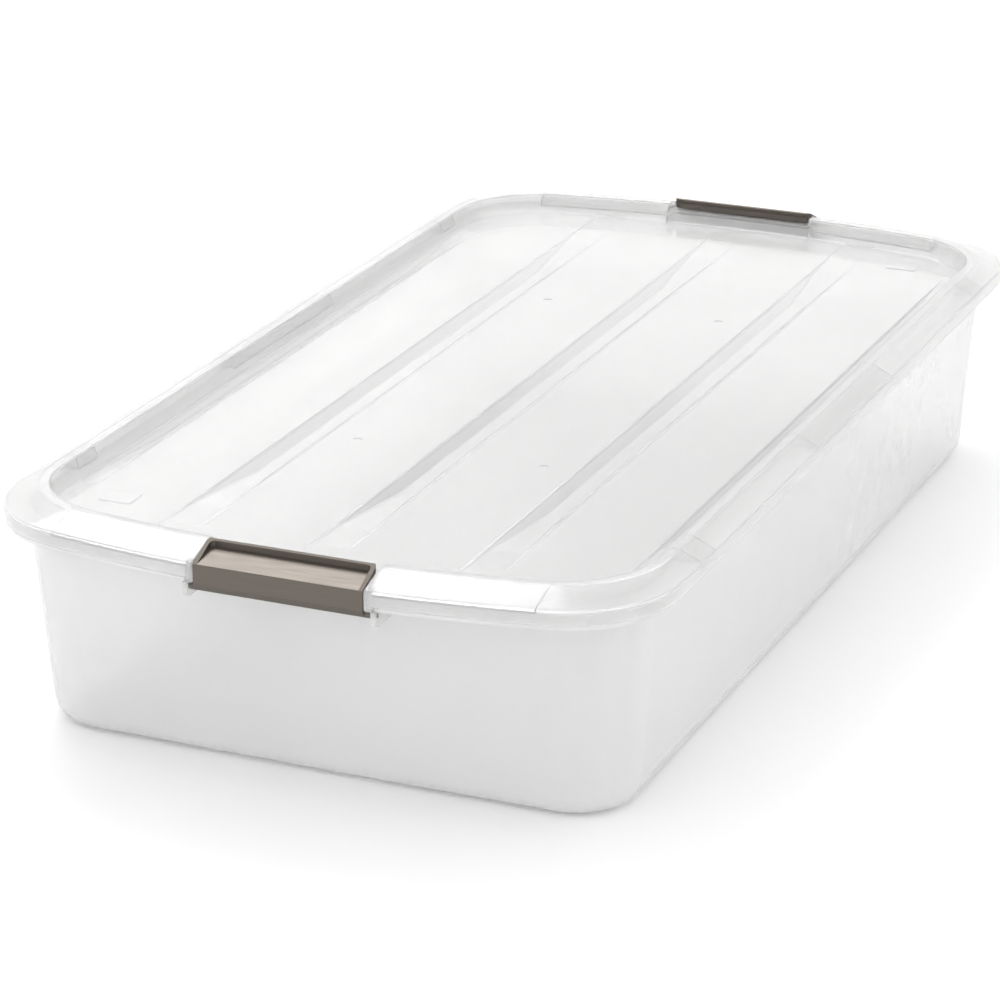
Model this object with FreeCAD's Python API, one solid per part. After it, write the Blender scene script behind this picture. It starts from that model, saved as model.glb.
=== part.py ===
import FreeCAD, Part
import math
import os

# Under bed storage box: tub, lift-off lid and two end latches.
# Millimetres. Z is up, Y runs along the length, the origin is bottom centre.
# Rings are rounded rectangles given as half width, half length, corner radius.
# Their two ends are bowed outwards, the rims and the lid more than the base.

# lid
LID_HALF_X = 216.0
LID_HALF_Y = 407.4
LID_CORNER = 70.0
END_RADIUS = 820.0
SKIN = 1.8
SKIRT_BOTTOM = 134.0
SHOULDER_Z = 142.2
SLOPE_START_Z = 144.2
SLOPE_INSET = 2.0
CREST_Z = 150.0
CREST_INSET_X = 14.5
CREST_INSET_Y = 22.4
CREST_CORNER = 68.5
CREST_FLAT = 6.5
PANEL_Z = 137.0
PANEL_HALF_X = 191.0
PANEL_HALF_Y = 372.5
PANEL_CORNER = 57.0

# lid flutes and small features
FLUTE_PITCH = 97.5
FLUTE_TOP = 24.0
FLUTE_BOTTOM = 10.0
FLUTE_DEPTH = 5.0
FLUTE_MID_DEPTH = 1.1
FLUTE_HALF_LENGTHS = (225.0, 300.0, 370.0)
EDGE_FLUTE_START = 178.0
EDGE_FLUTE_HALF_LENGTHS = (195.0, 268.0, 318.0)
SEAT_THICKNESS = 1.2
SEAT_HALF_MID = 76.0
SEAT_END_NEAR = 264.0
SEAT_END_FAR = 288.0
WEB_X = 154.0
WEB_THICKNESS = 1.0
PAD_SIZE = (21.0, 17.0, 0.5)
PAD_CENTRES = ((-152.0, -311.0), (143.0, 331.0))
GATE_CENTRES = ((-64.0, -160.0), (64.0, -160.0), (-64.0, 156.0), (64.0, 156.0))
GATE_RADIUS = 3.2
GATE_DEPTH = 0.4

# tub
BASE_HALF_X = 191.5
BASE_HALF_Y = 359.5
BASE_CORNER = 40.0
BASE_END_RADIUS = 20000.0
BASE_ROUND = 14.0
WALL_TOP_HALF_X = 201.8
WALL_TOP_HALF_Y = 385.0
WALL_TOP_CORNER = 56.0
WALL_TOP_END_RADIUS = 1600.0
RIM_TOP = 140.1
LIP_GAP = 0.5
LIP_BOTTOM = 130.7
LIP_CUT_HALF = 60.2
RIM_EDGE_Y = -397.7
FLOOR = 2.2

# latch, written for the front (-Y) end and turned round for the rear
LATCH_HALF = 54.0
NOTCH_HALF = 55.0
PIVOT_Y = -400.5
PIVOT_Z = 128.0
BARREL_RADIUS = 2.4
BARREL_HALF = 58.0
PIN_RADIUS = 1.6
PIN_CLEARANCE = 0.1
LUG_INNER = 58.5
LUG_THICKNESS = 3.0
LUG_BOTTOM = 121.0
LUG_FRONT_Y = -404.2
EAR_FRONT_Y = -405.3
EAR_BACK_Y = -398.2
EAR_WIDTH = 4.4
EAR_BOTTOM = 131.2
LATCH_BACK = (-383.2, 152.8)
LATCH_FRONT = (-405.0, 143.0)
LATCH_BACK_BOTTOM = 145.2
LATCH_CORNER = 4.0
LATCH_CHAMFER = 1.0
GROOVE = (149.0, 151.3, 1.1)
TRAY_RIM = 2.6
TRAY_BACK_FLOOR_Z = 147.9
TRAY_CORNER = 3.0

V = FreeCAD.Vector
Z_AXIS = V(0, 0, 1)


def ring(half_x, half_y, radius, z, end_radius=END_RADIUS):
    """Rounded rectangle wire with bowed ends, always cut into the same eight edges."""
    x = half_x - radius
    end_centre = half_y - end_radius
    y = end_centre + math.sqrt((end_radius - radius) ** 2 - x ** 2)
    turn = math.atan2(x, y - end_centre)
    x_join = end_radius * math.sin(turn)
    y_join = end_centre + end_radius * math.cos(turn)
    middle = (turn + math.pi / 2) / 2
    x_mid = x + radius * math.sin(middle)
    y_mid = y + radius * math.cos(middle)
    edges = []
    for side in (-1, 1):
        ends = V(side * x_join, side * y_join, z), V(-side * x_join, side * y_join, z)
        edges.append(Part.Arc(ends[0], V(0, side * half_y, z), ends[1]).toShape())
        start, stop = V(-side * half_x, side * y, z), V(-side * half_x, -side * y, z)
        edges.append(Part.Arc(ends[1], V(-side * x_mid, side * y_mid, z), start).toShape())
        edges.append(Part.makeLine(start, stop))
        last = V(-side * x_join, -side * y_join, z)
        edges.append(Part.Arc(stop, V(-side * x_mid, -side * y_mid, z), last).toShape())
    return Part.Wire(edges)


def stack(rings):
    """Solid with flat facets between neighbouring rings."""
    return Part.makeLoft([ring(*item) for item in rings], True, True)


def grow(item, amount, dz=0.0):
    """The same ring moved outwards by amount and up by dz."""
    return (item[0] + amount, item[1] + amount, item[2] + amount, item[3] + dz) + item[4:]


def raised(item, z):
    """The same ring at another height."""
    return item[:3] + (z,) + item[4:]


def between(a, b, t):
    """The ring a fraction t of the way from ring a to ring b."""
    return tuple(a[i] + (b[i] - a[i]) * t for i in range(4))


def prism_x(points, x0, x1):
    """Polygon of (y, z) points pulled along X from x0 to x1."""
    corners = [V(x0, y, z) for y, z in points]
    face = Part.Face(Part.makePolygon(corners + [corners[0]]))
    return face.extrude(V(x1 - x0, 0, 0))


def block(x0, x1, y0, y1, z0, z1):
    return Part.makeBox(x1 - x0, y1 - y0, z1 - z0, V(x0, y0, z0))


def both_ends(shape):
    """The shape and its copy turned half a turn about Z."""
    other = shape.copy()
    other.rotate(V(0, 0, 0), Z_AXIS, 180)
    return [shape, other]


def rod_x(x0, x1, radius):
    return Part.makeCylinder(radius, x1 - x0, V(x0, PIVOT_Y, PIVOT_Z), V(1, 0, 0))


# ---------------------------------------------------------------- lid

def lid_hull_rings():
    """Rings of the outside of the lid, skirt bottom to crest, with rounded turns."""
    side = (LID_HALF_X, LID_HALF_Y, LID_CORNER, 0.0)
    start = grow(side, -SLOPE_INSET, SLOPE_START_Z)
    crest = (LID_HALF_X - CREST_INSET_X, LID_HALF_Y - CREST_INSET_Y, CREST_CORNER, CREST_Z)
    near_crest = between(start, crest, 0.9)
    rings = [grow(side, 0.0, SKIRT_BOTTOM), grow(side, 0.0, SHOULDER_Z)]
    rings.append(grow(side, -0.35, SHOULDER_Z + 1.0))
    rings.append(grow(side, -1.0, SHOULDER_Z + 1.7))
    rings += [start, near_crest, grow(near_crest, -1.0, 0.28), crest]
    return rings


def lid_well_rings():
    """Rings of the sunken well inside the crest, panel level to crest."""
    crest = lid_hull_rings()[-1]
    panel = (PANEL_HALF_X, PANEL_HALF_Y, PANEL_CORNER, PANEL_Z)
    brim = grow(crest, -CREST_FLAT)
    foot = grow(between(panel, brim, 0.1), 0.6)
    edge = grow(between(panel, brim, 0.93), 0.25)
    return [panel, grow(between(panel, brim, 0.03), 0.5), foot, edge, brim]


def lid_parts():
    """Outside hull, hollow under the rim, and the open well above the panel."""
    hull_rings = lid_hull_rings()
    well_rings = lid_well_rings()
    hull = stack(hull_rings)
    inner = [grow(hull_rings[0], -SKIN, -1.0)]
    inner.append(grow(hull_rings[1], -SKIN, -0.5))
    inner.append(grow(hull_rings[4], -SKIN, -1.5))
    inner.append(grow(hull_rings[7], -0.4, -SKIN))
    hollow = stack(inner)
    bowl = stack([grow(well_rings[0], SKIN * 0.9, -SKIN), grow(well_rings[-1], SKIN * 0.9, 1.0)])
    below = stack([grow(well_rings[0], SKIN * 0.9, -5.0), grow(well_rings[0], SKIN * 0.9, -SKIN)])
    well = stack(well_rings + [grow(well_rings[-1], 0.6, 1.0)])
    under = hollow.cut(bowl)
    return hull, under, well, below


def flute_levels(spread):
    """Heights of the floor, the run-out and the mouth of a flute or of its skin."""
    if spread > 0:
        return PANEL_Z - FLUTE_DEPTH - SKIN, PANEL_Z - FLUTE_MID_DEPTH - SKIN, PANEL_Z - 0.5
    return PANEL_Z - FLUTE_DEPTH, PANEL_Z - FLUTE_MID_DEPTH, PANEL_Z + 0.02


def flute(centre_x, spread=0.0):
    """Long trough that runs out gently to both ends; spread widens it to make its skin."""
    halves = (FLUTE_BOTTOM / 2, FLUTE_TOP / 2 - 1.6, FLUTE_TOP / 2)
    rings = []
    for half, length, z in zip(halves, FLUTE_HALF_LENGTHS, flute_levels(spread)):
        rings.append((half + spread, length + spread * 0.6, 2.5 + spread, z, BASE_END_RADIUS))
    trough = stack(rings)
    trough.translate(V(centre_x, 0, 0))
    return trough


def edge_flute(side, spread=0.0):
    """Trough that runs along the foot of each long rim wall."""
    inner = (EDGE_FLUTE_START + 6.0, EDGE_FLUTE_START + 1.2, EDGE_FLUTE_START)
    outer = (PANEL_HALF_X - 3.0, PANEL_HALF_X - 0.6, PANEL_HALF_X)
    wires = []
    for x_in, x_out, length, z in zip(inner, outer, EDGE_FLUTE_HALF_LENGTHS, flute_levels(spread)):
        x0 = x_in - spread
        x1 = x_out + spread * 0.9
        half = length + spread
        corners = [V(x0, -half, z), V(x1, -half, z), V(x1, half, z), V(x0, half, z)]
        wires.append(Part.makePolygon(corners + [corners[0]]))
    trough = Part.makeLoft(wires, True, True)
    if side < 0:
        trough.rotate(V(0, 0, 0), Z_AXIS, 180)
    return trough


def lid_seats(under):
    """Shelves and webs in the hollow rim that rest on the tub rim."""
    seat_z = RIM_TOP + 0.3
    pieces = []
    spans = [(-SEAT_HALF_MID, SEAT_HALF_MID), (SEAT_END_NEAR, SEAT_END_FAR), (-SEAT_END_FAR, -SEAT_END_NEAR)]
    for y0, y1 in spans:
        pieces.append(block(185, 214, y0, y1, seat_z, seat_z + SEAT_THICKNESS))
        for y in (y0, y1 - WEB_THICKNESS):
            pieces.append(block(185, 214, y, y + WEB_THICKNESS, seat_z, CREST_Z))
    for x in (-WEB_X, WEB_X):
        pieces.append(block(x - WEB_THICKNESS / 2, x + WEB_THICKNESS / 2, -408, -360, seat_z, CREST_Z))
    for x0, x1 in ((-WEB_X, -NOTCH_HALF), (NOTCH_HALF, WEB_X)):
        pieces.append(block(x0, x1, -408, -360, seat_z, seat_z + SEAT_THICKNESS))
    made = []
    for piece in pieces:
        for copy in both_ends(piece):
            made.append(copy.common(under))
    return made


def lid_notch():
    """What the latch notch takes out of the lid, and the ledge it puts back."""
    y_edge = -397.0
    y_flat = -384.0
    z_edge = 141.9
    z_flat = 144.2
    y_wall = -371.0
    outline = [(-412, 132), (-412, 156), (-366, 156), (-366, z_flat), (y_flat, z_flat), (y_edge, z_edge), (y_edge, 132)]
    taken = prism_x(outline, -NOTCH_HALF, NOTCH_HALF)
    plate = [(y_edge, z_edge), (y_flat, z_flat), (y_wall, z_flat), (y_wall, z_flat - SKIN)]
    plate += [(y_flat, z_flat - SKIN), (y_edge, z_edge - SKIN)]
    ledge = prism_x(plate, -NOTCH_HALF - SKIN, NOTCH_HALF + SKIN)
    return taken, ledge


def make_lid():
    hull, under, well, below = lid_parts()
    seats = lid_seats(under)
    lid = hull.cut(under).cut(below)
    lid = lid.cut(well)
    lid = lid.fuse(seats)
    skins = []
    troughs = []
    for x in (-FLUTE_PITCH, 0.0, FLUTE_PITCH):
        skins.append(flute(x, 1.5))
        troughs.append(flute(x))
    for side in (1, -1):
        skins.append(edge_flute(side, 1.5))
        troughs.append(edge_flute(side))
    lid = lid.fuse(skins)
    for trough in troughs:
        lid = lid.cut(trough)
    taken, ledge = lid_notch()
    walls = []
    for x0 in (NOTCH_HALF, -NOTCH_HALF - SKIN):
        cheek = block(x0, x0 + SKIN, -410, -366, SKIRT_BOTTOM, CREST_Z + 1).common(hull).cut(well)
        walls.append(cheek)
    for piece in both_ends(taken):
        lid = lid.cut(piece)
    added = []
    for piece in [ledge.cut(well)] + walls:
        added += both_ends(piece)
    lid = lid.fuse(added)
    lid = lid.cut(below_rim_of_tub())
    ear = [(EAR_FRONT_Y, EAR_BOTTOM), (EAR_FRONT_Y, SHOULDER_Z), (EAR_FRONT_Y + 2.0, SLOPE_START_Z - 0.2)]
    ear += [(EAR_BACK_Y - 0.8, SLOPE_START_Z + 0.8), (EAR_BACK_Y, 142.0), (EAR_BACK_Y, EAR_BOTTOM)]
    ears = []
    for x0 in (NOTCH_HALF, -NOTCH_HALF - EAR_WIDTH):
        ears += both_ends(prism_x(ear, x0, x0 + EAR_WIDTH))
    lid = lid.fuse(ears)
    for x, y in GATE_CENTRES:
        lid = lid.cut(Part.makeCylinder(GATE_RADIUS, 2, V(x, y, PANEL_Z - GATE_DEPTH)))
    pads = []
    for x, y in PAD_CENTRES:
        sx, sy, sz = PAD_SIZE
        pads.append(block(x - sx / 2, x + sx / 2, y - sy / 2, y + sy / 2, PANEL_Z - 0.3, PANEL_Z + sz))
    lid = lid.fuse(pads).removeSplitter()
    return lid


def below_rim_of_tub():
    """Space the tub rim needs under the cheeks of the notch."""
    outer = (LID_HALF_X - SKIN, LID_HALF_Y - SKIN, LID_CORNER - SKIN, SKIRT_BOTTOM - 1)
    inner = (WALL_TOP_HALF_X - 4.5, WALL_TOP_HALF_Y - 4.5, WALL_TOP_CORNER - 4.5, SKIRT_BOTTOM - 2)
    inner += (WALL_TOP_END_RADIUS,)
    space = stack([outer, raised(outer, RIM_TOP + 0.3)])
    core = stack([inner, raised(inner, RIM_TOP + 1)])
    return space.cut(core)


# ---------------------------------------------------------------- tub

def make_tub():
    base = (BASE_HALF_X, BASE_HALF_Y, BASE_CORNER, 0.0, BASE_END_RADIUS)
    top = (WALL_TOP_HALF_X, WALL_TOP_HALF_Y, WALL_TOP_CORNER, RIM_TOP, WALL_TOP_END_RADIUS)
    outside = stack([base, top])
    outside = round_floor(outside, 0.0, BASE_ROUND)
    inside = stack([grow(base, -SKIN - 0.1, FLOOR), grow(top, -SKIN, 0.0)])
    inside = round_floor(inside, FLOOR, BASE_ROUND - SKIN)
    rim = make_rim()
    for copy in both_ends(block(-LIP_CUT_HALF, LIP_CUT_HALF, -412, RIM_EDGE_Y, LIP_BOTTOM - 1, RIM_TOP + 1)):
        rim = rim.cut(copy)
    tub = outside.fuse(rim)
    tub = tub.cut(inside)
    tub = tub.fuse(make_lugs(outside))
    tub = tub.cut(inside)
    for copy in both_ends(rod_x(-70, 70, PIN_RADIUS + PIN_CLEARANCE)):
        tub = tub.cut(copy)
    return tub.removeSplitter()


def round_floor(solid, z, radius):
    """Round the edges that lie in the plane at height z."""
    edges = []
    for edge in solid.Edges:
        box = edge.BoundBox
        if abs(box.ZMin - z) < 0.01 and abs(box.ZMax - z) < 0.01:
            edges.append(edge)
    return solid.makeFillet(radius, edges)


def make_rim():
    """Flat rim turned out from the wall, with a lip turned down."""
    cut_back = SKIN + LIP_GAP
    outer = (LID_HALF_X - cut_back, LID_HALF_Y - cut_back, LID_CORNER - cut_back, LIP_BOTTOM)
    full = stack([outer, raised(outer, RIM_TOP)])
    inner = grow(outer, -SKIN, -1.0)
    hollow = stack([inner, raised(inner, RIM_TOP - SKIN)])
    return full.cut(hollow)


def make_lugs(outside):
    """Plates either side of each latch that carry its trunnions."""
    outline = [(-360, LUG_BOTTOM), (LUG_FRONT_Y + 2.5, LUG_BOTTOM), (LUG_FRONT_Y, LUG_BOTTOM + 2.5)]
    outline += [(LUG_FRONT_Y, EAR_BOTTOM - 0.7), (-397.6, EAR_BOTTOM - 0.7)]
    outline += [(-397.6, RIM_TOP - 0.5), (-360, RIM_TOP - 0.5)]
    lugs = []
    for x0 in (LUG_INNER, -LUG_INNER - LUG_THICKNESS):
        plate = prism_x(outline, x0, x0 + LUG_THICKNESS)
        lugs += both_ends(plate)
    return lugs


# ---------------------------------------------------------------- latch

def latch_body():
    """Bar of the latch: cap over the rim, front face and curl round the barrel."""
    y_back, z_back = LATCH_BACK
    slope = (z_back - LATCH_FRONT[1]) / (y_back - LATCH_FRONT[0])
    outline = [(y_back, z_back - LATCH_CHAMFER), (y_back - LATCH_CHAMFER, z_back - slope * LATCH_CHAMFER)]
    outline += [LATCH_FRONT, (-404.8, 130.8), (-402.6, 126.4), (PIVOT_Y, 125.7), (-399.0, 129.4)]
    outline += [(-402.6, 132.2), (-402.9, 141.6), (y_back, LATCH_BACK_BOTTOM)]
    body = prism_x(outline, -LATCH_HALF, LATCH_HALF)
    body = round_edges(body, 0.7, "x", LATCH_FRONT)
    body = round_edges(body, 0.7, "x", (-404.8, 130.8))
    z0, z1, depth = GROOVE
    body = body.cut(block(-LATCH_HALF - 1, LATCH_HALF + 1, y_back - depth, y_back + 1, z0, z1))
    plan = block(-LATCH_HALF, LATCH_HALF, -420, y_back, 100, 180)
    return body.common(round_edges(plan, LATCH_CORNER, "z", (y_back, 180)))


def make_latch():
    body = latch_body()
    body = body.fuse(rod_x(-BARREL_HALF, BARREL_HALF, BARREL_RADIUS))
    body = body.fuse([rod_x(BARREL_HALF - 1, BARREL_HALF + 3.1, PIN_RADIUS)])
    body = body.fuse([rod_x(-BARREL_HALF - 3.1, -BARREL_HALF + 1, PIN_RADIUS)])
    y_tray = LATCH_BACK[0] - TRAY_RIM
    floor = [(LATCH_FRONT[0] + 0.5, LATCH_FRONT[1] + 0.2), (y_tray, TRAY_BACK_FLOOR_Z), (y_tray, 160), (-412, 160)]
    floor += [(-412, LATCH_FRONT[1] - 2.9)]
    half = LATCH_HALF - TRAY_RIM
    tray = prism_x(floor, -half, half)
    tray = round_edges(tray, TRAY_CORNER, "z", (y_tray, 160))
    body = body.cut(tray)
    return body.removeSplitter()


def round_edges(solid, radius, along, point):
    """Round the edges that run along x, or upright (z), through a (y, z) point."""
    edges = []
    for edge in solid.Edges:
        box = edge.BoundBox
        length = {"x": box.XLength, "z": box.ZLength}[along]
        flat = box.YLength < 0.01 and min(box.XLength, box.ZLength) < 0.01
        if length > 2 and flat and abs(box.YMax - point[0]) < 0.01 and abs(box.ZMax - point[1]) < 0.01:
            edges.append(edge)
    return solid.makeFillet(radius, edges)


def write(node, shape):
    solid = shape
    if shape.ShapeType != "Solid" and len(shape.Solids) == 1:
        solid = shape.Solids[0]
    if not solid.isValid() or len(shape.Solids) != 1:
        raise ValueError(node + " is not one valid solid: " + str(len(shape.Solids)))
    solid.exportStep("parts/" + node + ".step")


os.makedirs("parts", exist_ok=True)
write("tub", make_tub())
write("lid", make_lid())
front = make_latch()
write("latch_front", front)
write("latch_rear", both_ends(front)[1])
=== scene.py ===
import math

import bpy
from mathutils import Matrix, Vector

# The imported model, in metres: Z up, Y along the length, front latch at -Y.
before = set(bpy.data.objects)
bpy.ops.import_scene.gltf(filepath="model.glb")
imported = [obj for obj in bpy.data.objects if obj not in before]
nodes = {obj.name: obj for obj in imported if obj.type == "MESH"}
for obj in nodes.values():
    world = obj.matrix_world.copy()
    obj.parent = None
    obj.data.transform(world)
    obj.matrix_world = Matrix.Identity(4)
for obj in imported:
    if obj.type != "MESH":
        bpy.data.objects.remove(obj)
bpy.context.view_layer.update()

# ------------------------------------------------------------------ numbers

# Camera: a long lens, well back from the object.
CAMERA_AZIMUTH = 23.1  # degrees to the right of straight on to the front end
CAMERA_ELEVATION = 20.7  # degrees above level
CAMERA_DISTANCE = 2.674  # metres from its target
CAMERA_TARGET = Vector((-0.0804, 0.1088, 0.0))
CAMERA_LENS = 135.7  # mm
CAMERA_SENSOR = 36.0  # mm
CAMERA_FAR_END = 60.0  # metres

# Dome: white all round, fading to a light grey in front and low down.
DOME_STRENGTH = 1.26
DOME_WHITE = (1.0, 1.0, 1.0, 1.0)
DOME_GREY = (0.8, 0.8, 0.8, 1.0)
DOME_GREY_DIRECTION = (0.2, -0.95, -0.25)
DOME_FADE = (0.1, 0.95)  # cosine to that direction where the fade starts and ends

# Softbox: high behind the left side, mirrored in the latches and the front rim.
SOFTBOX_PLACE = (-0.9, 0.8, 1.75)
SOFTBOX_TARGET = (0.0, -0.39, 0.15)
SOFTBOX_SIZE = (1.0, 0.75)
SOFTBOX_POWER = 10.5  # watts

FLOOR_HALF = 12.0  # metres
FLOOR_DROP = 0.0005  # below the object, so the two surfaces never share a plane
FLOOR_TINTS = ((0.90, 0.90, 0.90), (0.93, 0.93, 0.93))
FLOOR_ROUGHNESS = 0.7

NOISE_SPAN = (0.3, 0.7)  # where nearly all values of the noise lie
EVEN = (1.0, 1.0, 1.0)  # noise with the same grain along all three axes

# Sockets of the colour Mix node, which has one set for each data type.
MIX_FACTOR, MIX_FIRST, MIX_SECOND, MIX_RESULT = 0, 6, 7, 2

PLASTIC_IOR = 1.49
PLASTIC_ALPHA = 0.8
SKIN_STRENGTH, SKIN_DEPTH = 0.05, 0.0003

TUB_TINTS = ((0.975, 0.976, 0.976), (0.99, 0.99, 0.988))
TUB_ROUGHNESS = (0.16, 0.24)
LID_TINTS = ((0.952, 0.95, 0.949), (0.974, 0.972, 0.97))
LID_ROUGHNESS = (0.1, 0.17)

LATCH_TINTS = ((0.128, 0.112, 0.097), (0.16, 0.141, 0.123))
LATCH_ROUGHNESS = (0.28, 0.4)
LATCH_METALLIC = 0.85
STREAK_ALONG_X = (0.05, 1.0, 1.0)
STREAK_STRENGTH, STREAK_DEPTH = 0.08, 0.0002


# ------------------------------------------------------------------ camera

def make_camera():
    azimuth = math.radians(CAMERA_AZIMUTH)
    elevation = math.radians(CAMERA_ELEVATION)
    back = Vector((
        math.sin(azimuth) * math.cos(elevation),
        -math.cos(azimuth) * math.cos(elevation),
        math.sin(elevation),
    ))
    data = bpy.data.cameras.new("camera")
    data.lens = CAMERA_LENS
    data.sensor_width = CAMERA_SENSOR
    data.clip_end = CAMERA_FAR_END
    camera = bpy.data.objects.new("camera", data)
    camera.location = CAMERA_TARGET + back * CAMERA_DISTANCE
    camera.rotation_euler = (-back).to_track_quat("-Z", "Y").to_euler()
    bpy.context.scene.collection.objects.link(camera)
    bpy.context.scene.camera = camera


# ------------------------------------------------------------------ node helpers

def new_material(name):
    """Material whose tree holds only its output and one Principled shader."""
    material = bpy.data.materials.new(name)
    material.use_nodes = True
    tree = material.node_tree
    tree.nodes.clear()
    out = tree.nodes.new("ShaderNodeOutputMaterial")
    shader = tree.nodes.new("ShaderNodeBsdfPrincipled")
    tree.links.new(shader.outputs["BSDF"], out.inputs["Surface"])
    return material, tree, shader


def add(tree, kind, **inputs):
    """New node; keyword names with spaces as underscores set its inputs."""
    node = tree.nodes.new(kind)
    for key, value in inputs.items():
        node.inputs[key.replace("_", " ")].default_value = value
    return node


def object_coords(tree, scale):
    """Object coordinates in metres, times a scale vector."""
    coords = tree.nodes.new("ShaderNodeTexCoord")
    mapping = add(tree, "ShaderNodeMapping", Scale=scale)
    tree.links.new(coords.outputs["Object"], mapping.inputs["Vector"])
    return mapping.outputs["Vector"]


def noise(tree, stretch, scale, detail, roughness):
    node = add(tree, "ShaderNodeTexNoise", Scale=scale, Detail=detail, Roughness=roughness)
    tree.links.new(object_coords(tree, stretch), node.inputs["Vector"])
    return node.outputs["Fac"]


def remap(tree, value, low, high):
    """Noise value moved linearly from its usual span to low..high."""
    node = add(
        tree, "ShaderNodeMapRange",
        From_Min=NOISE_SPAN[0], From_Max=NOISE_SPAN[1], To_Min=low, To_Max=high,
    )
    tree.links.new(value, node.inputs["Value"])
    return node.outputs["Result"]


def blend_colour(tree, factor, tints):
    node = tree.nodes.new("ShaderNodeMix")
    node.data_type = "RGBA"
    node.inputs[MIX_FIRST].default_value = (*tints[0], 1.0)
    node.inputs[MIX_SECOND].default_value = (*tints[1], 1.0)
    tree.links.new(factor, node.inputs[MIX_FACTOR])
    return node.outputs[MIX_RESULT]


def bump(tree, shader, height, strength, distance):
    node = add(tree, "ShaderNodeBump", Strength=strength, Distance=distance)
    tree.links.new(height, node.inputs["Height"])
    tree.links.new(node.outputs["Normal"], shader.inputs["Normal"])


# ------------------------------------------------------------------ materials

def clear_plastic(name, tints, transmission, gloss, roughness, grain):
    """Milky polypropylene: cloudy flow marks, uneven frosting and a fine grain."""
    material, tree, shader = new_material(name)
    cloud = noise(tree, (1.0, 0.45, 1.0), 9.0, 4.0, 0.55)
    tree.links.new(blend_colour(tree, cloud, tints), shader.inputs["Base Color"])
    frost = noise(tree, EVEN, 26.0, 5.0, 0.6)
    tree.links.new(remap(tree, frost, *roughness), shader.inputs["Roughness"])
    shader.inputs["Transmission Weight"].default_value = transmission
    shader.inputs["IOR"].default_value = PLASTIC_IOR
    shader.inputs["Specular IOR Level"].default_value = gloss
    shader.inputs["Alpha"].default_value = PLASTIC_ALPHA
    skin = noise(tree, EVEN, grain, 2.0, 0.5)
    bump(tree, shader, skin, SKIN_STRENGTH, SKIN_DEPTH)
    return material


def latch_plastic():
    """Warm grey metallic plastic with faint streaks along the latch."""
    material, tree, shader = new_material("latch_grey")
    streak = noise(tree, STREAK_ALONG_X, 900.0, 3.0, 0.6)
    tree.links.new(blend_colour(tree, streak, LATCH_TINTS), shader.inputs["Base Color"])
    tree.links.new(remap(tree, streak, *LATCH_ROUGHNESS), shader.inputs["Roughness"])
    shader.inputs["Metallic"].default_value = LATCH_METALLIC
    bump(tree, shader, streak, STREAK_STRENGTH, STREAK_DEPTH)
    return material


def floor_material():
    """Matt white with faint, broad clouds."""
    material, tree, shader = new_material("floor")
    cloud = noise(tree, EVEN, 1.3, 2.0, 0.5)
    tree.links.new(blend_colour(tree, cloud, FLOOR_TINTS), shader.inputs["Base Color"])
    shader.inputs["Roughness"].default_value = FLOOR_ROUGHNESS
    return material


def dress(node, material):
    """Makes one material the only one on a CAD node's mesh."""
    mesh = nodes[node].data
    mesh.materials.clear()
    mesh.materials.append(material)


# ------------------------------------------------------------------ surroundings

def make_floor():
    mesh = bpy.data.meshes.new("floor")
    corners = [
        (-FLOOR_HALF, -FLOOR_HALF, 0), (FLOOR_HALF, -FLOOR_HALF, 0),
        (FLOOR_HALF, FLOOR_HALF, 0), (-FLOOR_HALF, FLOOR_HALF, 0),
    ]
    mesh.from_pydata(corners, [], [(0, 1, 2, 3)])
    mesh.materials.append(floor_material())
    floor = bpy.data.objects.new("floor", mesh)
    floor.location = (0.0, 0.0, -FLOOR_DROP)
    bpy.context.scene.collection.objects.link(floor)


def make_softbox():
    data = bpy.data.lights.new("softbox_top", "AREA")
    data.shape = "RECTANGLE"
    data.size, data.size_y = SOFTBOX_SIZE
    data.energy = SOFTBOX_POWER
    lamp = bpy.data.objects.new("softbox_top", data)
    lamp.location = SOFTBOX_PLACE
    aim = Vector(SOFTBOX_TARGET) - Vector(SOFTBOX_PLACE)
    lamp.rotation_euler = aim.to_track_quat("-Z", "Y").to_euler()
    bpy.context.scene.collection.objects.link(lamp)


def make_world():
    """Plain soft studio dome, a little greyer low down in front of the object."""
    world = bpy.data.worlds.new("studio")
    bpy.context.scene.world = world
    world.use_nodes = True
    tree = world.node_tree
    background = tree.nodes["Background"]
    background.inputs["Strength"].default_value = DOME_STRENGTH
    coords = tree.nodes.new("ShaderNodeTexCoord")
    facing = tree.nodes.new("ShaderNodeVectorMath")
    facing.operation = "DOT_PRODUCT"
    facing.inputs[1].default_value = DOME_GREY_DIRECTION
    ramp = tree.nodes.new("ShaderNodeValToRGB")
    stops = ramp.color_ramp.elements
    for stop, position, colour in zip(stops, DOME_FADE, (DOME_WHITE, DOME_GREY)):
        stop.position = position
        stop.color = colour
    tree.links.new(coords.outputs["Generated"], facing.inputs[0])
    tree.links.new(facing.outputs["Value"], ramp.inputs["Fac"])
    tree.links.new(ramp.outputs["Color"], background.inputs["Color"])


# ------------------------------------------------------------------ scene

make_camera()
bpy.context.scene.view_settings.view_transform = "Standard"
make_world()
make_floor()
make_softbox()

tub_plastic = clear_plastic(
    "clear_tub", TUB_TINTS, transmission=0.58, gloss=0.5, roughness=TUB_ROUGHNESS, grain=900.0,
)
lid_plastic = clear_plastic(
    "clear_lid", LID_TINTS, transmission=0.8, gloss=0.18, roughness=LID_ROUGHNESS, grain=500.0,
)
grey = latch_plastic()
dress("tub", tub_plastic)
dress("lid", lid_plastic)
dress("latch_front", grey)
dress("latch_rear", grey)
